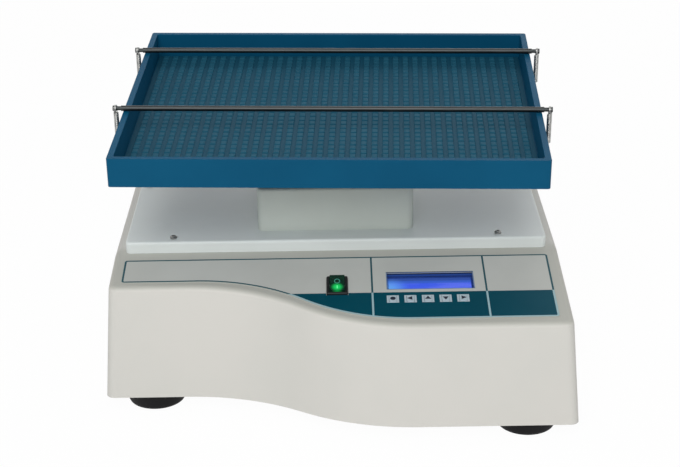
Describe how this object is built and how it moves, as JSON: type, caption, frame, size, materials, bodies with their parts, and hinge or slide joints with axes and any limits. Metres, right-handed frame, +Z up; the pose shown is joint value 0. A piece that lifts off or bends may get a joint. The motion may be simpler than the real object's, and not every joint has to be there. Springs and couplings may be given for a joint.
{
  "type": "three-dimensional shaker",
  "caption": "Bench shaker: a shallow tray with sprung hold-down bars nutates on an inclined crank above a moulded housing with a sloping control panel.",
  "frame": {"origin": "on the bench under the middle of the object, on the axis of the drive shaft", "axes": "+X to the right of the control panel, +Y to the back, +Z up"},
  "size_m": [0.334, 0.33, 0.2155],
  "materials": {
    "moulded_housing": "fine-textured moulded plastic",
    "painted_cover": "smooth powder coat",
    "painted_tray": "satin powder coat",
    "ribbed_rubber": "matt rubber with raised bars",
    "foot_rubber": "matt rubber",
    "stainless_bar": "drawn and polished",
    "spring_steel": "bright plated wire",
    "zinc_steel": "zinc plated sheet",
    "screw_steel": "plated",
    "ground_steel": "ground",
    "cast_aluminium": "machined",
    "motor_paint": "satin paint",
    "guide_nylon": "machined nylon",
    "printed_overlay": "silver and teal print under a matt film",
    "window_acrylic": "clear acrylic",
    "display_cell": "lit blue cell",
    "black_plastic": "moulded",
    "green_rocker": "lit translucent plastic",
    "key_plastic": "embossed film",
    "circuit_board": "solder resist",
    "core_steel": "varnished laminations",
    "fuse_glass": "glass with plated caps"
  },
  "bodies": {
    "chassis": {"housing_shell": "moulded_housing", "top_cover": "painted_cover", "turret_cover": "painted_cover", "rubber_feet": "foot_rubber", "drive_belt": "foot_rubber", "base_plate": "zinc_steel", "drive_frame": "zinc_steel", "motor_plate": "zinc_steel", "foot_screws": "screw_steel", "base_plate_screws": "screw_steel", "cover_screws": "screw_steel", "drive_frame_screws": "screw_steel", "motor_plate_screws": "screw_steel", "power_inlet_screws": "screw_steel", "display_board_screws": "screw_steel", "shaft_bearings": "ground_steel", "bearing_housing": "cast_aluminium", "base_pillars": "cast_aluminium", "gear_motor": "motor_paint", "guide_post": "guide_nylon", "shaft_seal": "guide_nylon", "panel_overlay": "printed_overlay", "display_window": "window_acrylic", "display_glass": "display_cell", "display_module": "black_plastic", "power_switch_body": "black_plastic", "power_inlet": "black_plastic", "display_board": "circuit_board", "keypad_board": "circuit_board", "control_board": "circuit_board", "transformer": "core_steel"},
    "drive_shaft": {"main_shaft": "ground_steel", "crank_block": "ground_steel", "crank_set_screw": "screw_steel", "inclined_journal": "ground_steel", "journal_nut": "screw_steel", "driven_pulley": "cast_aluminium"},
    "motor_rotor": {"motor_shaft": "ground_steel", "motor_pulley": "cast_aluminium"},
    "tray": {"tray_hub": "cast_aluminium", "hub_bearings": "ground_steel", "tray_spider": "zinc_steel", "tray_pan": "painted_tray", "tray_mat": "ribbed_rubber", "spring_brackets": "zinc_steel", "tray_screws": "screw_steel", "guide_arm": "zinc_steel", "guide_pin": "ground_steel", "front_springs": "spring_steel", "rear_springs": "spring_steel"},
    "front_bar": {"front_bar": "stainless_bar"},
    "rear_bar": {"rear_bar": "stainless_bar"},
    "power_rocker": {"power_rocker": "green_rocker"},
    "fuse_drawer": {"fuse_drawer": "black_plastic", "fuse": "fuse_glass"},
    "key_enter": {"key_enter": "key_plastic"},
    "key_left": {"key_left": "key_plastic"},
    "key_up": {"key_up": "key_plastic"},
    "key_down": {"key_down": "key_plastic"},
    "key_right": {"key_right": "key_plastic"}
  },
  "joints": [
    {"name": "drive_spin", "type": "hinge", "parent": "chassis", "child": "drive_shaft", "pos_m": [0, 0, 0.09], "axis": [0, 0, 1], "continuous": true},
    {"name": "tray_bearing", "type": "hinge", "parent": "drive_shaft", "child": "tray", "pos_m": [0, 0, 0.168], "axis": [0.0049, -0.0696, 0.9976], "continuous": true},
    {"name": "motor_spin", "type": "hinge", "parent": "chassis", "child": "motor_rotor", "pos_m": [0.105, 0.012, 0.047], "axis": [0, 0, 1], "continuous": true},
    {"name": "front_bar_lift", "type": "slide", "parent": "tray", "child": "front_bar", "axis": [0.0049, -0.0696, 0.9976], "range_m": [0, 0.018], "stiffness_N_per_m": 350, "springref_m": -0.012, "deforming": ["front_springs"]},
    {"name": "rear_bar_lift", "type": "slide", "parent": "tray", "child": "rear_bar", "axis": [0.0049, -0.0696, 0.9976], "range_m": [0, 0.018], "stiffness_N_per_m": 350, "springref_m": -0.012, "deforming": ["rear_springs"]},
    {"name": "power_rocker_tilt", "type": "hinge", "parent": "chassis", "child": "power_rocker", "pos_m": [0.0005, -0.11245, 0.09723], "axis": [1, 0, 0], "range_deg": [-16, 0]},
    {"name": "key_enter_press", "type": "slide", "parent": "chassis", "child": "key_enter", "axis": [0, 0.1676, -0.9859], "range_m": [0, 0.0005], "stiffness_N_per_m": 1500, "springref_m": -0.0003},
    {"name": "key_left_press", "type": "slide", "parent": "chassis", "child": "key_left", "axis": [0, 0.1676, -0.9859], "range_m": [0, 0.0005], "stiffness_N_per_m": 1500, "springref_m": -0.0003},
    {"name": "key_up_press", "type": "slide", "parent": "chassis", "child": "key_up", "axis": [0, 0.1676, -0.9859], "range_m": [0, 0.0005], "stiffness_N_per_m": 1500, "springref_m": -0.0003},
    {"name": "key_down_press", "type": "slide", "parent": "chassis", "child": "key_down", "axis": [0, 0.1676, -0.9859], "range_m": [0, 0.0005], "stiffness_N_per_m": 1500, "springref_m": -0.0003},
    {"name": "key_right_press", "type": "slide", "parent": "chassis", "child": "key_right", "axis": [0, 0.1676, -0.9859], "range_m": [0, 0.0005], "stiffness_N_per_m": 1500, "springref_m": -0.0003},
    {"name": "fuse_drawer_slide", "type": "slide", "parent": "chassis", "child": "fuse_drawer", "axis": [0, 1, 0], "range_m": [0, 0.014]}
  ],
  "couplings": [
    {"joint": "tray_bearing", "follows": "drive_spin", "ratio": -1},
    {"joint": "motor_spin", "follows": "drive_spin", "ratio": 2.9167}
  ]
}
